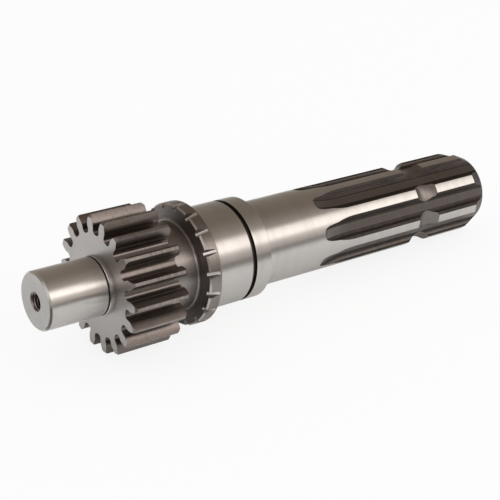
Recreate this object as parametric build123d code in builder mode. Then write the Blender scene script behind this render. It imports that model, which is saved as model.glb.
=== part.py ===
import os
from math import acos, cos, degrees, pi, radians, sin, sqrt, tan

from build123d import *

os.makedirs("parts", exist_ok=True)

# Power take-off stub shaft, in millimetres. The shaft lies along X, from the pilot journal to the
# splined stub. The origin is on the axis, at the shoulder that the main bearing seats against.
# +Z points through a gap between two teeth, and so does -Z, so the gear rests on two tooth tips.

# Pilot journal, with its tapped hole
pilot_diameter = 25.0
pilot_length = 26.5
pilot_chamfer = 0.8
undercut_width = 0.8
undercut_depth = 0.5
tap_drill_diameter = 6.8
tap_drill_depth = 20.0
tap_countersink_diameter = 8.4
drill_point_angle = 118.0

# Ring that keeps the pilot bearing off the gear
spacer_ring_diameter = 25.8
spacer_ring_width = 1.1
spacer_ring_chamfer = 0.3

# Spur gear, cut into the shaft
gear_module = 3.0
tooth_count = 18
pressure_angle = 20.0
profile_shift = -0.4
tip_diameter = 59.6
gear_width = 26.0
tooth_end_chamfer = 1.0
gap_bottom_radius = 1.75
hob_radius = 35.0

# Neck and collar behind the gear
neck_diameter = 37.6
neck_length = 12.35
neck_corner = 1.2
collar_diameter = 53.5
collar_width = 6.2
collar_front_chamfer = 0.65
collar_back_chamfer = 0.5

# Nicks that the tips of the hob cut in the collar as it lifts out
nick_floor_width = 0.7
nick_corner_radius = 0.6
nick_corner_flats = 3

# Main bearing journal, with its retaining ring groove
journal_diameter = 45.0
journal_length = 29.25
journal_chamfer = 0.5
bearing_seat_length = 19.0
ring_groove_width = 2.15
ring_groove_diameter = 42.5

# Stub, a plain length and then the splines, ground to one diameter
stub_diameter = 38.0
stub_length = 133.8
stub_lead_length = 7.1
stub_end_diameter = 31.6

# Splines, milled by a disc cutter that also bevels the edges of the lands
spline_count = 8
spline_width = 6.0
spline_root_diameter = 32.0
spline_corner_radius = 2.2
spline_corner_flats = 3
land_chamfer = 1.0
spline_full_length = 83.3
spline_cutter_radius = 55.0
spline_lag_angle = 13.4

# Groove round the lands for the coupling's lock
lock_groove_setback = 37.75
lock_groove_radius = 8.3
lock_groove_diameter = 32.4

# Centre in the splined end, for grinding
centre_drill_diameter = 4.0
centre_drill_depth = 9.0
centre_cone_diameter = 8.5
centre_cone_angle = 60.0

# How far a cutting profile stands out of the metal, and the points that carry an involute
cutter_overrun = 1.5
involute_steps = 6

# Stations along X
collar_front_x = -collar_width
gear_back_x = collar_front_x - neck_length
gear_front_x = gear_back_x - gear_width
ring_front_x = gear_front_x - spacer_ring_width
undercut_x = ring_front_x - undercut_width
pilot_x = undercut_x - pilot_length
stub_x = journal_length
end_x = stub_x + stub_length
spline_full_x = end_x - spline_full_length
lock_groove_x = end_x - lock_groove_setback

# Gear circles
pitch_radius = gear_module * tooth_count / 2
base_radius = pitch_radius * cos(radians(pressure_angle))
tip_radius = tip_diameter / 2
root_radius = pitch_radius - gear_module * (1.25 - profile_shift)


def involute(angle):
    return tan(angle) - angle


def gap_flank_point(radius):
    """Where the right flank of the gap at +Z crosses the circle of this radius."""
    shift_width = 2 * profile_shift * tan(radians(pressure_angle))
    pitch_half_angle = (pi / 2 + shift_width) / tooth_count
    pressure_at_radius = acos(min(1, base_radius / radius))
    tooth_half_angle = pitch_half_angle + involute(radians(pressure_angle)) - involute(pressure_at_radius)
    gap_half_angle = pi / tooth_count - tooth_half_angle
    return Vector(radius * sin(gap_half_angle), radius * cos(gap_half_angle))


def nick_corner_point(turn):
    """Point of the rounded corner at the bottom of a nick at +Z, this many degrees up from its floor."""
    centre = Vector(nick_floor_width / 2, root_radius + nick_corner_radius)
    return centre + Vector(sin(radians(turn)), -cos(radians(turn))) * nick_corner_radius


def land_edge_point(height, half_width):
    """Point at this height on the land to the right of the groove at +Z, off the land's middle line."""
    half_pitch = pi / spline_count
    along = Vector(sin(half_pitch), cos(half_pitch))
    towards_groove = Vector(-cos(half_pitch), sin(half_pitch))
    return along * height + towards_groove * half_width


def groove_corner_point(turn, floor_end, floor_height):
    """Point of the rounded corner to the right of a groove's floor, this many degrees up from the floor."""
    centre = Vector(floor_end, floor_height + spline_corner_radius)
    return centre + Vector(sin(radians(turn)), -cos(radians(turn))) * spline_corner_radius


def exit_angle(cutter_radius, depth):
    """Turn of a disc cutter's rim that lifts it clear of a cut of this depth."""
    return degrees(acos(1 - (depth + cutter_overrun) / cutter_radius))


def turns_about_shaft(count, first_angle=0):
    return [Location((0, 0, 0), (first_angle + 360 / count * index, 0, 0)) for index in range(count)]


# The blank as it comes off the lathe
with BuildPart() as turned_blank:
    with BuildSketch(Plane.XZ):
        with BuildLine():
            Polyline(
                (pilot_x, 0),
                (pilot_x, pilot_diameter / 2 - pilot_chamfer),
                (pilot_x + pilot_chamfer, pilot_diameter / 2),
                (undercut_x, pilot_diameter / 2),
                (undercut_x, pilot_diameter / 2 - undercut_depth),
                (ring_front_x, pilot_diameter / 2 - undercut_depth),
                (ring_front_x, spacer_ring_diameter / 2 - spacer_ring_chamfer),
                (ring_front_x + spacer_ring_chamfer, spacer_ring_diameter / 2),
                (gear_front_x, spacer_ring_diameter / 2),
                (gear_front_x, tip_radius - tooth_end_chamfer),
                (gear_front_x + tooth_end_chamfer, tip_radius),
                (gear_back_x - tooth_end_chamfer, tip_radius),
                (gear_back_x, tip_radius - tooth_end_chamfer),
                (gear_back_x, neck_diameter / 2),
                (collar_front_x - neck_corner, neck_diameter / 2),
                (collar_front_x, neck_diameter / 2 + neck_corner),
                (collar_front_x, collar_diameter / 2 - collar_front_chamfer),
                (collar_front_x + collar_front_chamfer, collar_diameter / 2),
                (-collar_back_chamfer, collar_diameter / 2),
                (0, collar_diameter / 2 - collar_back_chamfer),
                (0, journal_diameter / 2),
                (stub_x - journal_chamfer, journal_diameter / 2),
                (stub_x, journal_diameter / 2 - journal_chamfer),
                (stub_x, stub_diameter / 2),
                (end_x - stub_lead_length, stub_diameter / 2),
                (end_x, stub_end_diameter / 2),
                (end_x, 0),
                (pilot_x, 0),
            )
        make_face()
    revolve(axis=Axis.X)

# One gap between two teeth, where the hob runs straight along the gear
with BuildPart() as tooth_gap:
    with BuildSketch(Plane.YZ.offset(gear_back_x + cutter_overrun)):
        with BuildLine():
            flank_span = tip_radius + cutter_overrun - base_radius
            flank_shares = [(step / involute_steps) ** 2 for step in range(involute_steps + 1)]
            flank = Spline(*[gap_flank_point(base_radius + flank_span * share) for share in flank_shares])
            half_gap = (flank @ 0).X
            wall = Line(flank @ 0, (half_gap, root_radius + gap_bottom_radius))
            corner = JernArc(wall @ 1, (0, -1), gap_bottom_radius, -90)
            Line(corner @ 1, (0, root_radius))
            Line(flank @ 1, (0, (flank @ 1).Y))
            mirror(about=Plane.YZ)
        make_face()
    extrude(amount=-gear_width - 2 * cutter_overrun)

# The nick that a tooth of the hob cuts in the collar as it lifts out on the hob's own circle. The sides
# have the slope of a rack, and flats stand for the rounded corners of its tip
with BuildPart() as collar_nick:
    with BuildSketch(Plane.YZ.offset(gear_back_x)):
        with BuildLine():
            side_turn = 90 - pressure_angle
            nick_top = collar_diameter / 2 + cutter_overrun
            side_foot = nick_corner_point(side_turn)
            side_run = (nick_top - side_foot.Y) * tan(radians(pressure_angle))
            nick_side = Polyline(
                (0, root_radius),
                *[nick_corner_point(side_turn * step / nick_corner_flats) for step in range(nick_corner_flats + 1)],
                (side_foot.X + side_run, nick_top),
                (0, nick_top),
            )
            mirror(nick_side, about=Plane.YZ)
        make_face()
    revolve(
        axis=Axis((gear_back_x, 0, root_radius + hob_radius), (0, -1, 0)),
        revolution_arc=exit_angle(hob_radius, collar_diameter / 2 - root_radius),
    )

# One groove between two lands, with the bevels of the lands in the cutter's profile. Flats stand for the
# rounded corners of its floor
with BuildPart() as spline_groove:
    with BuildSketch(Plane.YZ.offset(spline_full_x)) as groove_profile:
        with BuildLine():
            floor_height = spline_root_diameter / 2
            foot_height = (floor_height - spline_width / 2 * sin(pi / spline_count)) / cos(pi / spline_count)
            top_height = sqrt((stub_diameter / 2) ** 2 - (spline_width / 2 - land_chamfer) ** 2)
            foot = land_edge_point(foot_height, spline_width / 2)
            wall_turn = 90 - degrees(pi / spline_count)
            floor_end = foot.X - spline_corner_radius * tan(radians(wall_turn / 2))
            corner_turns = [wall_turn * step / spline_corner_flats for step in range(spline_corner_flats + 1)]
            sides = Polyline(
                (0, floor_height),
                *[groove_corner_point(turn, floor_end, floor_height) for turn in corner_turns],
                land_edge_point(top_height - land_chamfer, spline_width / 2),
                land_edge_point(top_height + cutter_overrun, spline_width / 2 - land_chamfer - cutter_overrun),
                (0, stub_diameter / 2 + 2 * cutter_overrun),
            )
            mirror(sides, about=Plane.YZ)
        make_face()
    extrude(amount=spline_full_length + cutter_overrun)
    revolve(
        groove_profile.sketch,
        axis=Axis((spline_full_x, 0, floor_height + spline_cutter_radius), (0, 1, 0)),
        revolution_arc=exit_angle(spline_cutter_radius, stub_diameter / 2 - floor_height),
    )

with BuildPart() as stub_shaft:
    add(turned_blank.part)

    with Locations(*turns_about_shaft(tooth_count)):
        add([tooth_gap.part, collar_nick.part], mode=Mode.SUBTRACT)

    with Locations(*turns_about_shaft(spline_count, -spline_lag_angle)):
        add(spline_groove.part, mode=Mode.SUBTRACT)

    # Groove for the bearing's retaining ring
    with BuildSketch(Plane.XZ):
        with Locations((bearing_seat_length, ring_groove_diameter / 2)):
            Rectangle(ring_groove_width, journal_diameter / 2, align=(Align.MIN, Align.MIN))
    revolve(axis=Axis.X, mode=Mode.SUBTRACT)

    # Groove round the lands, an arc in section
    with BuildSketch(Plane.XZ):
        with Locations((lock_groove_x, lock_groove_diameter / 2 + lock_groove_radius)):
            Circle(lock_groove_radius)
    revolve(axis=Axis.X, mode=Mode.SUBTRACT)

    # Tapping hole in the pilot, with its countersink and drill point
    with BuildSketch(Plane.XZ):
        with BuildLine():
            sink_depth = (tap_countersink_diameter - tap_drill_diameter) / 2
            tap_point_length = tap_drill_diameter / 2 / tan(radians(drill_point_angle / 2))
            Polyline(
                (pilot_x, 0),
                (pilot_x, tap_countersink_diameter / 2),
                (pilot_x + sink_depth, tap_drill_diameter / 2),
                (pilot_x + tap_drill_depth, tap_drill_diameter / 2),
                (pilot_x + tap_drill_depth + tap_point_length, 0),
                close=True,
            )
        make_face()
    revolve(axis=Axis.X, mode=Mode.SUBTRACT)

    # Drilled centre in the splined end
    with BuildSketch(Plane.XZ):
        with BuildLine():
            cone_depth = (centre_cone_diameter - centre_drill_diameter) / 2 / tan(radians(centre_cone_angle / 2))
            centre_point_length = centre_drill_diameter / 2 / tan(radians(drill_point_angle / 2))
            Polyline(
                (end_x, 0),
                (end_x, centre_cone_diameter / 2),
                (end_x - cone_depth, centre_drill_diameter / 2),
                (end_x - centre_drill_depth, centre_drill_diameter / 2),
                (end_x - centre_drill_depth - centre_point_length, 0),
                close=True,
            )
        make_face()
    revolve(axis=Axis.X, mode=Mode.SUBTRACT)

stub_shaft.part.label = "stub_shaft"
export_step(stub_shaft.part, "parts/stub_shaft.step")
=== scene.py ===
from math import atan2, cos, hypot, pi, radians

import bmesh
import bpy
from mathutils import Matrix, Vector


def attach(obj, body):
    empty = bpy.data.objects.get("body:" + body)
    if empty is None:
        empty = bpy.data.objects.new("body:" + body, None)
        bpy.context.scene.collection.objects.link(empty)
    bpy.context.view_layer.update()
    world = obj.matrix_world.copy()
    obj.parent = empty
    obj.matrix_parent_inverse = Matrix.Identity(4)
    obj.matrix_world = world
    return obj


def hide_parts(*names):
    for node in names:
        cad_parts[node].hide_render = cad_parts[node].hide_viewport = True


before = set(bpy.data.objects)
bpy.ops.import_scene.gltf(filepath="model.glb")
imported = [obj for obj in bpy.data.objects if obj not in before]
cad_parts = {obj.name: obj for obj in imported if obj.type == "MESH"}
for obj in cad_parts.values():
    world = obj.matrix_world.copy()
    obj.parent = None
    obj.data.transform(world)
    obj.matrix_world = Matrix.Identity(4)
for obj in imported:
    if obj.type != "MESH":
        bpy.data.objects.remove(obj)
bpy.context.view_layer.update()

print("packed shaft loaded")

mm = 0.001

# where one surface of the shaft ends and the next begins, in mm from the bearing shoulder
station = {
    "pilotFace": -72.95,
    "pilotEnd": -46.45,
    "undercutEnd": -45.65,
    "gearFace": -44.55,
    "gearBack": -18.55,
    "collarFront": -6.2,
    "shoulder": 0.0,
    "sealStart": 25.0,
    "journalEnd": 29.25,
    "lockStart": 118.9,
    "lockEnd": 131.7,
    "leadStart": 155.95,
}


# small helpers for node trees, materials and objects

def addNode(tree, kind, **values):
    node = tree.nodes.new(kind)
    for name, value in values.items():
        if hasattr(node, name):
            setattr(node, name, value)
        else:
            node.inputs[name.replace("_", " ")].default_value = value
    return node


def wire(tree, source, target):
    tree.links.new(source, target)


def mathNode(tree, operation, first, second=None, clamp=False):
    node = tree.nodes.new("ShaderNodeMath")
    node.operation = operation
    node.use_clamp = clamp
    for slot, value in enumerate((first, second)):
        if value is None:
            continue
        if isinstance(value, (int, float)):
            node.inputs[slot].default_value = value
        else:
            wire(tree, value, node.inputs[slot])
    return node.outputs[0]


def rangeNode(tree, value, fromLow, fromHigh, toLow, toHigh):
    node = tree.nodes.new("ShaderNodeMapRange")
    node.clamp = True
    limits = {"From Min": fromLow, "From Max": fromHigh, "To Min": toLow, "To Max": toHigh}
    for name, number in limits.items():
        node.inputs[name].default_value = number
    wire(tree, value, node.inputs["Value"])
    return node.outputs["Result"]


def newMaterial(name):
    material = bpy.data.materials.new(name)
    material.use_nodes = True
    tree = material.node_tree
    tree.nodes.clear()
    return material, tree


def newObject(name, bm, mesh):
    bm.to_mesh(mesh)
    bm.free()
    thing = bpy.data.objects.new(name, mesh)
    bpy.context.scene.collection.objects.link(thing)
    return thing


def newGroup(name, inputs, outputs):
    group = bpy.data.node_groups.new(name, "ShaderNodeTree")
    for label, value in inputs:
        socket = group.interface.new_socket(label, in_out="INPUT", socket_type="NodeSocketFloat")
        socket.default_value = value
    for label in outputs:
        group.interface.new_socket(label, in_out="OUTPUT", socket_type="NodeSocketFloat")
    return group, group.nodes.new("NodeGroupInput"), group.nodes.new("NodeGroupOutput")


# how strongly the noise under each kind of mark is drawn apart: below the first number there is none of it,
# and above the second all of it
wear = {
    "rings": (0.3, 0.7),
    "film": (0.35, 0.65),
    "specks": (0.66, 0.74),
    "rubbing": (0.35, 0.6),
    "leastRubbing": 0.35,
    "dulling": (0.3, 1.7),
    "lineDepth": 0.0002,        # metres that the tool lines are shaded with
}


# tool lines left by a lathe or a grinding wheel: rings round the shaft's axis
def buildToolLines():
    group, given, out = newGroup(
        "toolLines",
        [("Fineness", 4000.0), ("Coarse", 500.0)],
        ["Height", "Tone"],
    )
    place = addNode(group, "ShaderNodeTexCoord")
    split = addNode(group, "ShaderNodeSeparateXYZ")
    wire(group, place.outputs["Object"], split.inputs[0])
    across = addNode(group, "ShaderNodeCombineXYZ")
    wire(group, split.outputs["Y"], across.inputs["Y"])
    wire(group, split.outputs["Z"], across.inputs["Z"])
    reach = addNode(group, "ShaderNodeVectorMath", operation="LENGTH")
    wire(group, across.outputs[0], reach.inputs[0])
    profile = addNode(group, "ShaderNodeCombineXYZ")
    wire(group, split.outputs["X"], profile.inputs["X"])
    wire(group, reach.outputs["Value"], profile.inputs["Y"])
    fine = addNode(group, "ShaderNodeTexNoise", noise_dimensions="2D", Detail=2.0, Roughness=0.6)
    wire(group, profile.outputs[0], fine.inputs["Vector"])
    wire(group, given.outputs["Fineness"], fine.inputs["Scale"])
    coarse = addNode(group, "ShaderNodeTexNoise", noise_dimensions="2D", Detail=3.0, Roughness=0.5)
    wire(group, profile.outputs[0], coarse.inputs["Vector"])
    wire(group, given.outputs["Coarse"], coarse.inputs["Scale"])
    wire(group, fine.outputs["Fac"], out.inputs["Height"])
    wire(group, rangeNode(group, coarse.outputs["Fac"], *wear["rings"], 0.0, 1.0), out.inputs["Tone"])
    return group


# oil film, finger marks and small specks that lie over every surface
def buildHandling():
    group, given, out = newGroup(
        "handlingMarks",
        [("Film Size", 60.0), ("Speck Size", 900.0)],
        ["Film", "Specks"],
    )
    place = addNode(group, "ShaderNodeTexCoord")
    film = addNode(group, "ShaderNodeTexNoise", Detail=4.0, Roughness=0.6, Distortion=0.4)
    wire(group, place.outputs["Object"], film.inputs["Vector"])
    wire(group, given.outputs["Film Size"], film.inputs["Scale"])
    specks = addNode(group, "ShaderNodeTexNoise", Detail=1.0)
    wire(group, place.outputs["Object"], specks.inputs["Vector"])
    wire(group, given.outputs["Speck Size"], specks.inputs["Scale"])
    wire(group, rangeNode(group, film.outputs["Fac"], *wear["film"], 0.0, 1.0), out.inputs["Film"])
    wire(group, rangeNode(group, specks.outputs["Fac"], *wear["specks"], 0.0, 1.0), out.inputs["Specks"])
    return group


# broken edges are drawn bright, as rubbed wear and as a painted highlight on the edge: the mesh marks them,
# and noise keeps the rubbing uneven
def buildEdgeRub():
    group, given, out = newGroup("edgeRub", [("Patches", 700.0)], ["Mask"])
    mark = addNode(group, "ShaderNodeAttribute", attribute_name="brokenEdge")
    place = addNode(group, "ShaderNodeTexCoord")
    patches = addNode(group, "ShaderNodeTexNoise", Detail=3.0)
    wire(group, place.outputs["Object"], patches.inputs["Vector"])
    wire(group, given.outputs["Patches"], patches.inputs["Scale"])
    uneven = rangeNode(group, patches.outputs["Fac"], *wear["rubbing"], wear["leastRubbing"], 1.0)
    wire(group, mathNode(group, "MULTIPLY", mark.outputs["Fac"], uneven), out.inputs["Mask"])
    return group


toolLines = buildToolLines()
handlingMarks = buildHandling()
edgeRub = buildEdgeRub()
print("node groups built")

# one entry for each finish on the shaft
# steel: clean colour, stain: colour of its darker rings, rub: colour of its worn edges, which is also a
# painted highlight there
# roughness and spread: its middle and how far it varies, stretch: how far light smears across the tool lines
# fineness, coarse: how close the tool lines and the darker rings lie, relief: how deep the tool lines look
finishes = {
    # painted light: the pilot is drawn lighter than the journal's ground steel, for how it is lit
    "pilotGroundPaintedLight": {
        "steel": (0.735, 0.710, 0.685), "stain": (0.680, 0.650, 0.622), "rub": (0.78, 0.76, 0.74),
        "roughness": 0.34, "spread": 0.03, "stretch": 0.86,
        "fineness": 5200.0, "coarse": 700.0, "relief": 0.04,
    },
    "bearingGround": {
        "steel": (0.640, 0.620, 0.595), "stain": (0.590, 0.565, 0.540), "rub": (0.74, 0.72, 0.70),
        "roughness": 0.31, "spread": 0.04, "stretch": 0.90,
        "fineness": 4600.0, "coarse": 420.0, "relief": 0.05,
    },
    "stubGround": {
        "steel": (0.640, 0.620, 0.595), "stain": (0.590, 0.565, 0.540), "rub": (0.72, 0.70, 0.68),
        "roughness": 0.31, "spread": 0.04, "stretch": 0.88,
        "fineness": 4200.0, "coarse": 300.0, "relief": 0.05,
    },
    "pilotFace": {
        "steel": (0.520, 0.510, 0.500), "stain": (0.480, 0.468, 0.455), "rub": (0.66, 0.64, 0.62),
        "roughness": 0.36, "spread": 0.05, "stretch": 0.15,
        "fineness": 2600.0, "coarse": 900.0, "relief": 0.04,
    },
    "turnedFace": {
        "steel": (0.490, 0.470, 0.460), "stain": (0.440, 0.420, 0.408), "rub": (0.66, 0.64, 0.62),
        "roughness": 0.32, "spread": 0.04, "stretch": 0.30,
        "fineness": 2600.0, "coarse": 900.0, "relief": 0.05,
    },
    "spacerRing": {
        "steel": (0.680, 0.650, 0.630), "stain": (0.600, 0.570, 0.550), "rub": (0.72, 0.69, 0.67),
        "roughness": 0.28, "spread": 0.05, "stretch": 0.60,
        "fineness": 2400.0, "coarse": 900.0, "relief": 0.06,
    },
    # painted shade: the gear's back face and the collar's end faces are drawn dark, for the shade of the
    # narrow neck between gear and collar
    "paintedShadeFace": {
        "steel": (0.230, 0.210, 0.200), "stain": (0.170, 0.152, 0.143), "rub": (0.50, 0.47, 0.45),
        "roughness": 0.42, "spread": 0.08, "stretch": 0.40,
        "fineness": 2600.0, "coarse": 900.0, "relief": 0.06,
    },
    "turnedNeck": {
        "steel": (0.360, 0.330, 0.315), "stain": (0.290, 0.262, 0.248), "rub": (0.60, 0.57, 0.55),
        "roughness": 0.36, "spread": 0.08, "stretch": 0.70,
        "fineness": 2200.0, "coarse": 800.0, "relief": 0.10,
    },
    "turnedCollar": {
        "steel": (0.310, 0.280, 0.265), "stain": (0.235, 0.208, 0.195), "rub": (0.56, 0.52, 0.50),
        "roughness": 0.38, "spread": 0.08, "stretch": 0.60,
        "fineness": 2200.0, "coarse": 800.0, "relief": 0.10,
    },
    # painted highlight: the collar's chamfer is drawn about twice as light as the collar, for the light line
    # along its edge
    "collarChamferPaintedHighlight": {
        "steel": (0.620, 0.585, 0.565), "stain": (0.540, 0.505, 0.485), "rub": (0.70, 0.67, 0.65),
        "roughness": 0.30, "spread": 0.06, "stretch": 0.60,
        "fineness": 2200.0, "coarse": 800.0, "relief": 0.06,
    },
    # partly fresh-cut metal and partly a painted highlight: the floors of the nicks are drawn lighter than
    # any ground steel, for the bright lines along them
    "freshCutAndPaintedHighlight": {
        "steel": (0.760, 0.730, 0.710), "stain": (0.700, 0.670, 0.650), "rub": (0.76, 0.73, 0.71),
        "roughness": 0.44, "spread": 0.06, "stretch": 0.10,
        "fineness": 1800.0, "coarse": 700.0, "relief": 0.10,
    },
    "toothTip": {
        "steel": (0.380, 0.345, 0.325), "stain": (0.220, 0.196, 0.182), "rub": (0.50, 0.47, 0.45),
        "roughness": 0.40, "spread": 0.12, "stretch": 0.35,
        "fineness": 2400.0, "coarse": 600.0, "relief": 0.14,
    },
    "hobbedFlank": {
        "steel": (0.245, 0.214, 0.198), "stain": (0.178, 0.154, 0.142), "rub": (0.60, 0.56, 0.54),
        "roughness": 0.34, "spread": 0.05, "stretch": 0.30,
        "fineness": 1500.0, "coarse": 500.0, "relief": 0.02,
    },
    "milledFloor": {
        "steel": (0.225, 0.200, 0.186), "stain": (0.178, 0.157, 0.145), "rub": (0.42, 0.39, 0.37),
        "roughness": 0.32, "spread": 0.06, "stretch": 0.25,
        "fineness": 1900.0, "coarse": 450.0, "relief": 0.08,
    },
    # painted shade: the walls of the spline grooves are drawn darker than their floors, for the shade inside
    # the grooves
    "milledWallPaintedShade": {
        "steel": (0.145, 0.126, 0.116), "stain": (0.110, 0.095, 0.087), "rub": (0.30, 0.28, 0.26),
        "roughness": 0.36, "spread": 0.06, "stretch": 0.25,
        "fineness": 1900.0, "coarse": 450.0, "relief": 0.06,
    },
    # painted shade: the rounded corners at the foot of the spline walls are drawn nearly black, for the
    # shade deep in the grooves
    "milledCornerPaintedShade": {
        "steel": (0.070, 0.059, 0.053), "stain": (0.054, 0.046, 0.041), "rub": (0.14, 0.12, 0.11),
        "roughness": 0.50, "spread": 0.06, "stretch": 0.10,
        "fineness": 1900.0, "coarse": 450.0, "relief": 0.05,
    },
    # painted shade: the lead at the splined end is drawn dark, far darker than the turned steel it is cut in
    "turnedLeadPaintedShade": {
        "steel": (0.105, 0.092, 0.085), "stain": (0.080, 0.070, 0.064), "rub": (0.26, 0.23, 0.21),
        "roughness": 0.38, "spread": 0.06, "stretch": 0.30,
        "fineness": 2200.0, "coarse": 700.0, "relief": 0.06,
    },
    "lockGroove": {
        "steel": (0.250, 0.225, 0.210), "stain": (0.180, 0.160, 0.147), "rub": (0.46, 0.43, 0.41),
        "roughness": 0.36, "spread": 0.08, "stretch": 0.30,
        "fineness": 2400.0, "coarse": 700.0, "relief": 0.10,
    },
    "nickWall": {
        "steel": (0.260, 0.236, 0.222), "stain": (0.195, 0.174, 0.162), "rub": (0.56, 0.53, 0.51),
        "roughness": 0.36, "spread": 0.08, "stretch": 0.25,
        "fineness": 1800.0, "coarse": 700.0, "relief": 0.10,
    },
    "tappedThread": {
        "steel": (0.420, 0.380, 0.358), "stain": (0.300, 0.268, 0.250), "rub": (0.52, 0.48, 0.46),
        "roughness": 0.34, "spread": 0.06, "stretch": 0.0,
        "fineness": 2400.0, "coarse": 900.0, "relief": 0.10,
    },
    # painted shade: the bore, the undercut by the pilot and the ring groove are drawn dark, for the shade in
    # these recesses
    "paintedShadeGroove": {
        "steel": (0.110, 0.095, 0.085), "stain": (0.060, 0.052, 0.047), "rub": (0.40, 0.37, 0.35),
        "roughness": 0.46, "spread": 0.10, "stretch": 0.30,
        "fineness": 2400.0, "coarse": 700.0, "relief": 0.14,
    },
}


def makeFinish(name, look):
    material, tree = newMaterial(name)
    output = addNode(tree, "ShaderNodeOutputMaterial")
    steel = addNode(tree, "ShaderNodeBsdfPrincipled")
    steel.inputs["Metallic"].default_value = 1.0
    steel.inputs["Anisotropic"].default_value = look["stretch"]
    steel.inputs["Anisotropic Rotation"].default_value = 0.25      # light smears across the tool lines
    wire(tree, steel.outputs[0], output.inputs["Surface"])
    turning = addNode(tree, "ShaderNodeTangent", direction_type="RADIAL", axis="X")
    wire(tree, turning.outputs[0], steel.inputs["Tangent"])

    lines = addNode(tree, "ShaderNodeGroup", node_tree=toolLines)
    lines.inputs["Fineness"].default_value = look["fineness"]
    lines.inputs["Coarse"].default_value = look["coarse"]
    marks = addNode(tree, "ShaderNodeGroup", node_tree=handlingMarks)
    rub = addNode(tree, "ShaderNodeGroup", node_tree=edgeRub)

    # colour: rings of stain over clean steel, then a thin film, then bright edges
    ringed = addNode(tree, "ShaderNodeMix", data_type="RGBA")
    ringed.inputs["A"].default_value = (*look["steel"], 1.0)
    ringed.inputs["B"].default_value = (*look["stain"], 1.0)
    stained = mathNode(tree, "MULTIPLY", lines.outputs["Tone"], marks.outputs["Film"])
    wire(tree, stained, ringed.inputs["Factor"])
    specked = addNode(tree, "ShaderNodeMix", data_type="RGBA")
    specked.inputs["B"].default_value = (*look["stain"], 1.0)
    wire(tree, ringed.outputs["Result"], specked.inputs["A"])
    wire(tree, marks.outputs["Specks"], specked.inputs["Factor"])
    rubbed = addNode(tree, "ShaderNodeMix", data_type="RGBA")
    rubbed.inputs["B"].default_value = (*look["rub"], 1.0)
    wire(tree, specked.outputs["Result"], rubbed.inputs["A"])
    wire(tree, rub.outputs["Mask"], rubbed.inputs["Factor"])
    wire(tree, rubbed.outputs["Result"], steel.inputs["Base Color"])

    # roughness: follows the film and the rings
    dull = mathNode(tree, "ADD", marks.outputs["Film"], lines.outputs["Tone"])
    low = look["roughness"] - look["spread"] / 2
    wire(tree, rangeNode(tree, dull, *wear["dulling"], low, low + look["spread"]), steel.inputs["Roughness"])

    # relief: the tool lines themselves
    relief = addNode(tree, "ShaderNodeBump", Strength=look["relief"], Distance=wear["lineDepth"])
    wire(tree, lines.outputs["Height"], relief.inputs["Height"])
    wire(tree, relief.outputs[0], steel.inputs["Normal"])
    return material


steelOf = {name: makeFinish(name, look) for name, look in finishes.items()}
print("finishes built")

# the shaft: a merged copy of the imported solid, its edges broken and each surface given its own finish
shaft = {
    "mergeDistance": 0.002,     # mm
    "flatAngle": 0.4,           # degrees, below this two facets are one face
    "sharpAngle": 24.0,         # degrees, above this an edge is broken
    "brokenEdge": 0.07,         # mm
    "leastEdge": 0.0015,        # mm, shorter edges are closed up
    "softAngle": 30.0,          # degrees, faces that meet closer than this shade as one
    "roundFacing": 0.9985,      # faces of a round surface shade from the axis if they face away from it
    "roundArea": 0.4,           # this squarely and are larger than this, in mm2
    "neckCorner": 1.2,          # mm, leg of the flat that stands for the rounded corner by the collar
}

# signs that tell the surfaces apart: reaches in mm from the axis, the others as shares of a face's
# unit normal
signs = {
    "slack": 0.05,              # mm along the axis
    "boreReach": 4.3,           # anything nearer the axis is inside a centre hole
    "tipReach": 27.5,
    "collarReach": 26.0,
    "ringGrooveReach": 22.3,
    "lockReach": 18.9,
    "landReach": 18.8,
    "flatEnd": 0.99,            # along the axis, above which it is square to it
    "endFace": 0.95,            # and above which it is an end face
    "ringFlank": 0.6,           # and below which it is the bottom of the ring groove
    "chamfer": 0.5,             # and above which it is a chamfer of the collar
    "lead": 0.2,                # and above which it is the lead at the splined end
    "outward": 0.6,             # away from the axis, above which it is on the outside
    "roundOutside": 0.95,
    "groundOutside": 0.995,
    "nickWall": 0.42,           # sideways, above which it is a wall of a nick
    "splineFloor": 0.25,        # and below which it is the floor of a spline groove
    "splineWall": 0.85,         # and above which it is its wall, not the rounded corner at its foot
}

# the flat of the neck's corner: its middle lies this far from the collar, in mm, and leans along the axis
neckCornerSpan = (0.02, shaft["neckCorner"] - 0.02)
neckCornerLean = 0.3

# surfaces that are round about the shaft's axis, and shade from it
roundFinishes = {
    "pilotGroundPaintedLight", "bearingGround", "stubGround", "spacerRing", "turnedNeck", "turnedCollar", "toothTip",
}


def axisDirection(point):
    return Vector((0.0, point.y, point.z)).normalized()


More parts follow.
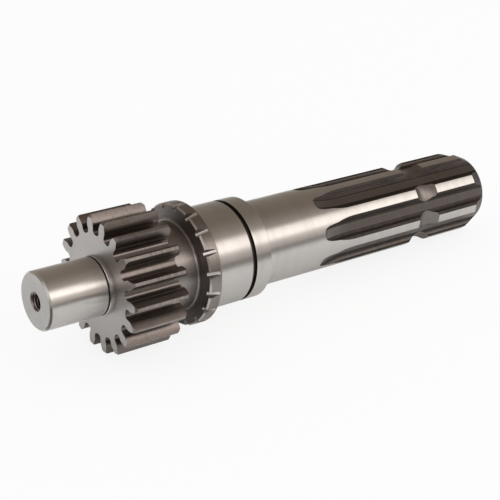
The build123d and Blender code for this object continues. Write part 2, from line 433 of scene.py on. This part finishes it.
def surfaceOf(face):
    centre = face.calc_center_median() / mm
    along = centre.x
    reach = hypot(centre.y, centre.z)
    outward = axisDirection(centre)
    facing = face.normal.dot(outward)      # 1 on a round surface, 0 on an end face
    endOn = abs(face.normal.x)
    sideways = abs(face.normal.cross(outward).x)
    onEndFace = endOn > signs["endFace"]
    slack = signs["slack"]
    # the bore, the undercut and the ring groove take the painted shade of a recess
    if reach < signs["boreReach"] and endOn < signs["flatEnd"]:
        return "paintedShadeGroove"
    if along < station["undercutEnd"] + slack:
        if onEndFace:
            return "pilotFace" if along < station["pilotFace"] + slack else "paintedShadeGroove"
        return "paintedShadeGroove" if along > station["pilotEnd"] else "pilotGroundPaintedLight"
    if along < station["gearFace"] - slack:
        return "spacerRing"
    if along < station["gearBack"] + slack:
        if onEndFace:
            return "turnedFace" if face.normal.x < 0.0 else "paintedShadeFace"
        onTip = reach > signs["tipReach"] and facing > signs["outward"]
        return "toothTip" if onTip else "hobbedFlank"
    if along < station["collarFront"] - slack:
        return "turnedNeck"
    if along < station["shoulder"] + slack:
        if onEndFace:
            return "paintedShadeFace"
        if reach > signs["collarReach"] and facing > signs["roundOutside"]:
            return "turnedCollar"
        if reach > signs["collarReach"] and facing > signs["outward"] and endOn > signs["chamfer"]:
            return "collarChamferPaintedHighlight"
        return "nickWall" if sideways > signs["nickWall"] else "freshCutAndPaintedHighlight"
    if along < station["journalEnd"] + slack:
        inGroove = reach < signs["ringGrooveReach"] and endOn < signs["ringFlank"]
        if inGroove or onEndFace and along < station["sealStart"]:
            return "paintedShadeGroove"
        return "turnedFace" if onEndFace else "bearingGround"
    if onEndFace:
        return "turnedFace"
    span = [corner.co.x / mm for corner in face.verts]
    inLock = station["lockStart"] < min(span) and max(span) < station["lockEnd"]
    if inLock and reach < signs["lockReach"]:
        return "lockGroove"
    if along > station["leadStart"] and endOn > signs["lead"]:
        return "turnedLeadPaintedShade"
    if reach > signs["landReach"] and facing > signs["groundOutside"]:
        return "stubGround"
    if sideways < signs["splineFloor"]:
        return "milledFloor"
    return "milledWallPaintedShade" if sideways > signs["splineWall"] else "milledCornerPaintedShade"


def onNeckCorner(face):
    fromFace = station["collarFront"] - face.calc_center_median().x / mm
    low, high = neckCornerSpan
    return low < fromFace < high and neckCornerLean < abs(face.normal.x) < signs["endFace"]


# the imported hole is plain: an M8 thread takes the place of its wall down to its last few millimetres
thread = {
    "pitch": 1.25,
    "minorRadius": 3.4,
    "majorRadius": 4.0,
    "mouthRadius": 4.2,
    "mouthDepth": 1.0,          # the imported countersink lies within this
    "mouthSlack": 0.01,         # and within the mouth's radius less this
    "mouthLean": (0.1, 0.95),   # its faces lean between these along the axis
    "depth": 16.0,
    "inset": 0.01,              # the first thread starts this far in, clear of the end face
    "wallLap": 0.1,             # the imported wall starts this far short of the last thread
    "rootFlat": 0.125,          # share of the pitch
    "crestFlat": 0.25,
    "stepsPerTurn": 48,
    "flatSteps": 2,
    "flankSteps": 3,
    "spareTurns": 3,            # wound beyond both ends and pressed flat there
    "mergeDistance": 0.001,
    "leastEdge": 0.004,
    "rimReach": 0.5,            # rims this near to an end of the thread are joined
}


# one pitch of the profile, wound along the bore as a surface: flat root, flank, flat crest, flank
def windThread():
    face = station["pilotFace"]
    pitch, low, high = (thread[name] for name in ("pitch", "minorRadius", "majorRadius"))
    flank = (1.0 - thread["rootFlat"] - thread["crestFlat"]) / 2
    rootEnd, crestEnd = thread["rootFlat"], 1.0 - flank
    shape = ((0.0, high), (rootEnd, high), (rootEnd + flank, low), (crestEnd, low), (1.0, high))
    cutter = bmesh.new()
    points = [cutter.verts.new(((face - pitch) * mm, 0.0, high * mm))]
    edges = []
    for (share, radius), (nextShare, nextRadius) in zip(shape, shape[1:]):
        steps = thread["flatSteps"] if radius == nextRadius else thread["flankSteps"]
        for step in range(1, steps + 1):
            along = share + (nextShare - share) * step / steps
            out = radius + (nextRadius - radius) * step / steps
            points.append(cutter.verts.new(((face - pitch + pitch * along) * mm, 0.0, out * mm)))
            edges.append(cutter.edges.new(points[-2:]))
    turns = int(thread["depth"] / pitch) + thread["spareTurns"]
    bmesh.ops.spin(
        cutter, geom=points + edges, cent=(0.0, 0.0, 0.0), axis=(1.0, 0.0, 0.0),
        dvec=(pitch / thread["stepsPerTurn"] * mm, 0.0, 0.0), angle=2 * pi * turns,
        steps=thread["stepsPerTurn"] * turns, use_merge=False,
    )
    bmesh.ops.remove_doubles(cutter, verts=cutter.verts, dist=thread["mergeDistance"] * mm)
    return cutter


# the ends are pressed flat: the thread starts at the countersink and runs out in its last turn
def trimThread(cutter):
    face = station["pilotFace"]
    deepest, pitch, low = (thread[name] for name in ("depth", "pitch", "minorRadius"))
    for corner in cutter.verts:
        depth = min(max(corner.co.x / mm - face, 0.0), deepest)
        out = hypot(corner.co.y, corner.co.z) / mm
        runOut = max(0.0, 1.0 - max(0.0, depth - deepest + pitch) / pitch)
        wanted = max(low + (out - low) * runOut, thread["mouthRadius"] - depth)
        corner.co.x = (face + depth + thread["inset"]) * mm
        corner.co.y *= wanted / out
        corner.co.z *= wanted / out
    bmesh.ops.dissolve_degenerate(cutter, edges=cutter.edges, dist=thread["leastEdge"] * mm)
    cutter.normal_update()


def cutThread(bm, finish):
    face = station["pilotFace"]
    least, most = thread["mouthLean"]
    mouth = [
        item for item in bm.faces
        if item.calc_center_median().x < (face + thread["mouthDepth"]) * mm
        and hypot(*item.calc_center_median().yz) < (thread["mouthRadius"] - thread["mouthSlack"]) * mm
        and least < abs(item.normal.x) < most
    ]
    wallEnd = {
        corner for item in mouth for corner in item.verts
        if hypot(corner.co.y, corner.co.z) < (thread["minorRadius"] + thread["wallLap"]) * mm
    }
    for corner in wallEnd:
        corner.co.x = (face + thread["depth"] - thread["wallLap"]) * mm
    bmesh.ops.delete(bm, geom=mouth, context="FACES")

    cutter = windThread()
    trimThread(cutter)
    for item in cutter.faces:
        if item.normal.dot(axisDirection(item.calc_center_median())) > 0.0:
            item.normal_flip()
        item.material_index = finish
        item.smooth = True
    cut = bpy.data.meshes.new("tappedThread")
    cutter.to_mesh(cut)
    cutter.free()
    bm.from_mesh(cut)
    bpy.data.meshes.remove(cut)

    # narrow strips join it to the end face and to the plain bottom of the hole
    for end in (0.0, thread["depth"]):
        rims = [
            edge for edge in bm.edges
            if edge.is_boundary and abs(edge.verts[0].co.x / mm - face - end) < thread["rimReach"]
        ]
        strip = bmesh.ops.bridge_loops(bm, edges=rims)
        for item in strip["faces"]:
            item.material_index = finish
            item.smooth = True


# keeps a sum of normals from being nothing
leastWeight = 1e-12


# large flats keep their own direction and the small faces beside them bend to it; round surfaces shade
# from the axis, and the flat by the collar shades as the round corner that it stands for
def shadeShaft(mesh, names, rounded):
    facing = [polygon.normal * polygon.area for polygon in mesh.polygons]
    around = [[] for corner in mesh.vertices]
    for polygon in mesh.polygons:
        for corner in polygon.vertices:
            around[corner].append(polygon.index)
    closeTo = cos(radians(shaft["softAngle"]))
    cornerMiddle = station["collarFront"] - shaft["neckCorner"] / 2
    normals = []
    for polygon in mesh.polygons:
        onCorner = polygon.index in rounded
        isRound = (
            names[polygon.material_index] in roundFinishes
            and polygon.normal.dot(axisDirection(polygon.center)) > shaft["roundFacing"]
            and polygon.area > shaft["roundArea"] * mm * mm
        )
        for corner in polygon.vertices:
            place = mesh.vertices[corner].co
            if onCorner and place.x / mm > cornerMiddle:
                normals.append(Vector((-1.0, 0.0, 0.0)))
            elif onCorner or isRound:
                normals.append(axisDirection(place))
            else:
                near = [
                    facing[other] for other in around[corner]
                    if facing[other].dot(polygon.normal) > closeTo * mesh.polygons[other].area
                ]
                normals.append(sum(near, polygon.normal * leastWeight).normalized())
    mesh.normals_split_custom_set(normals)


def dressShaft():
    names = list(finishes)
    mesh = bpy.data.meshes.new("stubShaftSteel")
    for name in names:
        mesh.materials.append(steelOf[name])
    bm = bmesh.new()
    bm.from_mesh(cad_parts["stub_shaft"].data)
    bmesh.ops.remove_doubles(bm, verts=bm.verts, dist=shaft["mergeDistance"] * mm)
    bmesh.ops.dissolve_limit(
        bm, angle_limit=radians(shaft["flatAngle"]), use_dissolve_boundaries=False,
        verts=bm.verts, edges=bm.edges, delimit=set(),
    )
    for face in bm.faces:
        face.material_index = names.index(surfaceOf(face))
        face.smooth = True
    sharp = [
        edge for edge in bm.edges
        if edge.is_manifold and edge.calc_face_angle() > radians(shaft["sharpAngle"])
        and not any(onNeckCorner(face) for face in edge.link_faces)
    ]
    mark = bm.faces.layers.float.new("brokenEdge")
    broken = bmesh.ops.bevel(
        bm, geom=sharp, offset=shaft["brokenEdge"] * mm, offset_type="OFFSET", segments=2,
        profile=0.5, affect="EDGES", clamp_overlap=True, material=-1,
    )
    for face in broken["faces"]:
        face[mark] = 1.0
    bmesh.ops.dissolve_degenerate(bm, edges=bm.edges, dist=shaft["leastEdge"] * mm)
    cutThread(bm, names.index("tappedThread"))
    bm.faces.index_update()
    rounded = {face.index for face in bm.faces if onNeckCorner(face)}
    piece = newObject("shaft_steel_body", bm, mesh)
    shadeShaft(mesh, names, rounded)
    return piece


steelBody = dressShaft()
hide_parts("stub_shaft")
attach(steelBody, "root")
print("shaft dressed,", len(steelBody.data.polygons), "faces")

# what the photograph's camera saw
camera = {
    "spot": (-0.31277, -0.45220, 0.23891),
    "aim": (0.03466, 0.00069, -0.00314),
    "roll": 1.53,               # degrees
    "lens": 100.8,
    "sensor": 36.0,
    "nearest": 0.01,
    "farthest": 20.0,
}


def setCamera():
    data = bpy.data.cameras.new("studioCamera")
    data.lens = camera["lens"]
    data.sensor_width = camera["sensor"]
    data.sensor_fit = "HORIZONTAL"
    data.clip_start = camera["nearest"]
    data.clip_end = camera["farthest"]
    view = Vector(camera["aim"]) - Vector(camera["spot"])
    turn = view.to_track_quat("-Z", "Y").to_matrix().to_4x4()
    roll = Matrix.Rotation(radians(camera["roll"]), 4, "Z")
    seen = bpy.data.objects.new("studioCamera", data)
    bpy.context.scene.collection.objects.link(seen)
    seen.matrix_world = Matrix.Translation(camera["spot"]) @ turn @ roll
    bpy.context.scene.camera = seen


setCamera()
print("camera set")

# the studio: a pale floor that the shaft lies on, one soft box, and a half-round cove that glows with
# painted light and shade, giving the bright steel something dark to mirror
studio = {
    "floorSize": 6.0,
    "toothRest": (-19.55, -29.454),    # x and z of the tooth tips on the floor, mm
    "stubRest": (155.95, -18.97),      # and of the splined end
    "floorColour": (0.90, 0.90, 0.89),
    "floorGlow": 0.86,                 # share of plain white that the camera sees
    "floorSheen": 0.10,                # and that the steel sees
    "worldLevel": 0.85,
    "softBoxSpot": (0.45, -1.070, 0.715),
    "softBoxAim": (0.03, 0.0, 0.0),
    "softBoxSize": (2.90, 0.56),
    "softBoxLevel": 6.1,
    "softBoxColour": (1.0, 0.950, 0.910),
    "coveRadius": 1.75,
    "coveEnds": (-2.6, 3.6),
    "coveSweep": 186.0,                # degrees, from the floor behind, over the top, to the floor in front
    "coveSteps": 62,
    # the cove's glow by angle, painted shade with a painted light beside the soft box: behind, overhead,
    # beside the soft box, and below it
    "coveShades": (
        (0.0, (0.370, 0.345, 0.315)),
        (22.0, (0.310, 0.275, 0.240)),
        (48.0, (0.240, 0.205, 0.168)),
        (84.0, (0.225, 0.185, 0.152)),
        (104.0, (0.300, 0.255, 0.220)),
        (122.0, (0.420, 0.370, 0.330)),
        (158.0, (0.800, 0.740, 0.700)),
        (172.0, (0.640, 0.585, 0.545)),
        (186.0, (0.600, 0.550, 0.510)),
    ),
    # dark glowing cards that only the steel sees, painted shade in its reflections: a low one along the
    # front, one beyond each end, and a small one on the floor by the pilot, a painted shadow on the floor
    "frontCardColour": (0.215, 0.193, 0.178),
    "frontCardDepth": (-0.13, -0.38),
    "frontCardEnds": (-0.50, 1.00),
    "frontCardHeight": 0.031,
    "frontCardLift": 0.001,
    "footCardColour": (0.110, 0.098, 0.090),
    "footCardEnds": (-0.32, -0.074),
    "footCardDepth": (-0.18, 0.006),
    "footCardLift": 0.0005,
    "endCardColour": (0.110, 0.096, 0.088),
    "endCardPlace": -1.50,
    "endCardEnds": (-1.70, -0.25),
    "endCardHeights": (-0.11, 0.36),
    "farCardColour": (0.170, 0.150, 0.140),
    "farCardPlace": 2.20,
    "farCardEnds": (-0.70, 0.90),
    "farCardHeights": (-0.05, 0.80),
}


def restFloor():
    (nearX, nearZ), (farX, farZ) = studio["toothRest"], studio["stubRest"]
    slope = atan2(farZ - nearZ, farX - nearX)
    bm = bmesh.new()
    bmesh.ops.create_grid(bm, x_segments=2, y_segments=2, size=studio["floorSize"] / 2)
    bmesh.ops.rotate(bm, verts=bm.verts, cent=(0.0, 0.0, 0.0), matrix=Matrix.Rotation(-slope, 3, "Y"))
    bmesh.ops.translate(bm, verts=bm.verts, vec=(nearX * mm, 0.0, nearZ * mm))
    floor = newObject("studioFloor", bm, bpy.data.meshes.new("studioFloor"))
    material, tree = newMaterial("paleFloor")
    output = addNode(tree, "ShaderNodeOutputMaterial")
    paint = addNode(tree, "ShaderNodeBsdfDiffuse")
    paint.inputs["Color"].default_value = (*studio["floorColour"], 1.0)
    white = addNode(tree, "ShaderNodeEmission")
    white.inputs["Strength"].default_value = 1.0
    mixed = addNode(tree, "ShaderNodeMixShader")
    path = addNode(tree, "ShaderNodeLightPath")
    mirrored = mathNode(tree, "MAXIMUM", path.outputs["Is Glossy Ray"], path.outputs["Is Transmission Ray"])
    looked = mathNode(tree, "MULTIPLY", path.outputs["Is Camera Ray"], studio["floorGlow"])
    share = mathNode(tree, "MAXIMUM", looked, mathNode(tree, "MULTIPLY", mirrored, studio["floorSheen"]))
    wire(tree, share, mixed.inputs[0])
    wire(tree, paint.outputs[0], mixed.inputs[1])
    wire(tree, white.outputs[0], mixed.inputs[2])
    wire(tree, mixed.outputs[0], output.inputs["Surface"])
    floor.data.materials.append(material)


def glowFor(tree):
    glow = addNode(tree, "ShaderNodeEmission")
    output = addNode(tree, "ShaderNodeOutputMaterial")
    wire(tree, glow.outputs[0], output.inputs["Surface"])
    return glow


# a glowing card of painted light and shade that is there only for the steel to mirror
def hideFromAllButSteel(card):
    card.visible_camera = False
    card.visible_diffuse = False
    card.visible_shadow = False
    card.visible_transmission = False


# the cove glows and no lamp lights it: its colour by angle is painted light and shade for the steel to
# mirror
def hangCove():
    start, end = studio["coveEnds"]
    bm = bmesh.new()
    near = bm.verts.new((start, studio["coveRadius"], 0.0))
    far = bm.verts.new((end, studio["coveRadius"], 0.0))
    edge = bm.edges.new((near, far))
    bmesh.ops.spin(
        bm, geom=[near, far, edge], cent=(0.0, 0.0, 0.0), axis=(1.0, 0.0, 0.0),
        angle=radians(studio["coveSweep"]), steps=studio["coveSteps"], use_merge=False,
    )
    cove = newObject("cove", bm, bpy.data.meshes.new("cove"))
    material, tree = newMaterial("coveGlowCard")
    place = addNode(tree, "ShaderNodeTexCoord")
    split = addNode(tree, "ShaderNodeSeparateXYZ")
    wire(tree, place.outputs["Object"], split.inputs[0])
    # a quarter turn is added, so that the sweep doesn't cross the angle's jump at half a turn
    quarter = pi / 2
    angle = mathNode(tree, "ARCTAN2", split.outputs["Z"], split.outputs["Y"])
    turned = mathNode(tree, "FLOORED_MODULO", mathNode(tree, "ADD", angle, quarter), 2 * pi)
    along = rangeNode(tree, turned, quarter, quarter + radians(studio["coveSweep"]), 0.0, 1.0)
    shades = addNode(tree, "ShaderNodeValToRGB")
    wire(tree, along, shades.inputs[0])
    stops = shades.color_ramp.elements
    for index, (degree, colour) in enumerate(studio["coveShades"]):
        stop = stops[index] if index < 2 else stops.new(1.0)
        stop.position = degree / studio["coveSweep"]
        stop.color = (*colour, 1.0)
    wire(tree, shades.outputs["Color"], glowFor(tree).inputs["Color"])
    cove.data.materials.append(material)
    hideFromAllButSteel(cove)


# a flat card that glows its given colour: painted shade for the steel to mirror
def standCard(name, corners, colour):
    bm = bmesh.new()
    bm.faces.new([bm.verts.new(corner) for corner in corners])
    card = newObject(name, bm, bpy.data.meshes.new(name))
    material, tree = newMaterial(name)
    glowFor(tree).inputs["Color"].default_value = (*colour, 1.0)
    card.data.materials.append(material)
    hideFromAllButSteel(card)


def floorHeight(x):
    (nearX, nearZ), (farX, farZ) = studio["toothRest"], studio["stubRest"]
    return (nearZ + (x / mm - nearX) * (farZ - nearZ) / (farX - nearX)) * mm


def standCards():
    start, end = studio["frontCardEnds"]
    near, far = studio["frontCardDepth"]
    low, high = (floorHeight(x) + studio["frontCardLift"] for x in (start, end))
    up = studio["frontCardHeight"]
    foot = ((start, near, low), (end, near, high), (end, far, high), (start, far, low))
    stood = ((start, far, low), (end, far, high), (end, far, high + up), (start, far, low + up))
    standCard("frontCardFoot", foot, studio["frontCardColour"])
    standCard("frontCard", stood, studio["frontCardColour"])
    start, end = studio["footCardEnds"]
    near, far = studio["footCardDepth"]
    low, high = (floorHeight(x) + studio["footCardLift"] for x in (start, end))
    under = ((start, near, low), (end, near, high), (end, far, high), (start, far, low))
    standCard("footCard", under, studio["footCardColour"])
    for name in ("endCard", "farCard"):
        low, high = studio[name + "Heights"]
        (start, end), x = studio[name + "Ends"], studio[name + "Place"]
        standing = ((x, start, low), (x, end, low), (x, end, high), (x, start, high))
        standCard(name, standing, studio[name + "Colour"])


def hangSoftBox():
    data = bpy.data.lights.new("softBox", "AREA")
    data.color = studio["softBoxColour"]
    data.shape = "RECTANGLE"
    data.size, data.size_y = studio["softBoxSize"]
    data.energy = studio["softBoxLevel"]
    box = bpy.data.objects.new("softBox", data)
    bpy.context.scene.collection.objects.link(box)
    aim = Vector(studio["softBoxAim"]) - Vector(studio["softBoxSpot"])
    turn = aim.to_track_quat("-Z", "Y").to_matrix().to_4x4()
    box.matrix_world = Matrix.Translation(studio["softBoxSpot"]) @ turn
    box.visible_camera = False


def lightWorld():
    world = bpy.data.worlds.new("paleWorld")
    world.use_nodes = True
    tree = world.node_tree
    tree.nodes.clear()
    output = addNode(tree, "ShaderNodeOutputWorld")
    sky = addNode(tree, "ShaderNodeBackground")
    path = addNode(tree, "ShaderNodeLightPath")
    looked = mathNode(tree, "MAXIMUM", path.outputs["Is Camera Ray"], path.outputs["Is Glossy Ray"])
    looked = mathNode(tree, "MAXIMUM", looked, path.outputs["Is Transmission Ray"])
    level = mathNode(tree, "MULTIPLY", looked, 1.0 - studio["worldLevel"])
    wire(tree, mathNode(tree, "ADD", level, studio["worldLevel"]), sky.inputs["Strength"])
    sky.inputs["Color"].default_value = (1.0, 1.0, 1.0, 1.0)
    wire(tree, sky.outputs[0], output.inputs["Surface"])
    bpy.context.scene.world = world


restFloor()
hangCove()
standCards()
hangSoftBox()
lightWorld()
bpy.context.scene.view_settings.view_transform = "Standard"
print("studio lit")
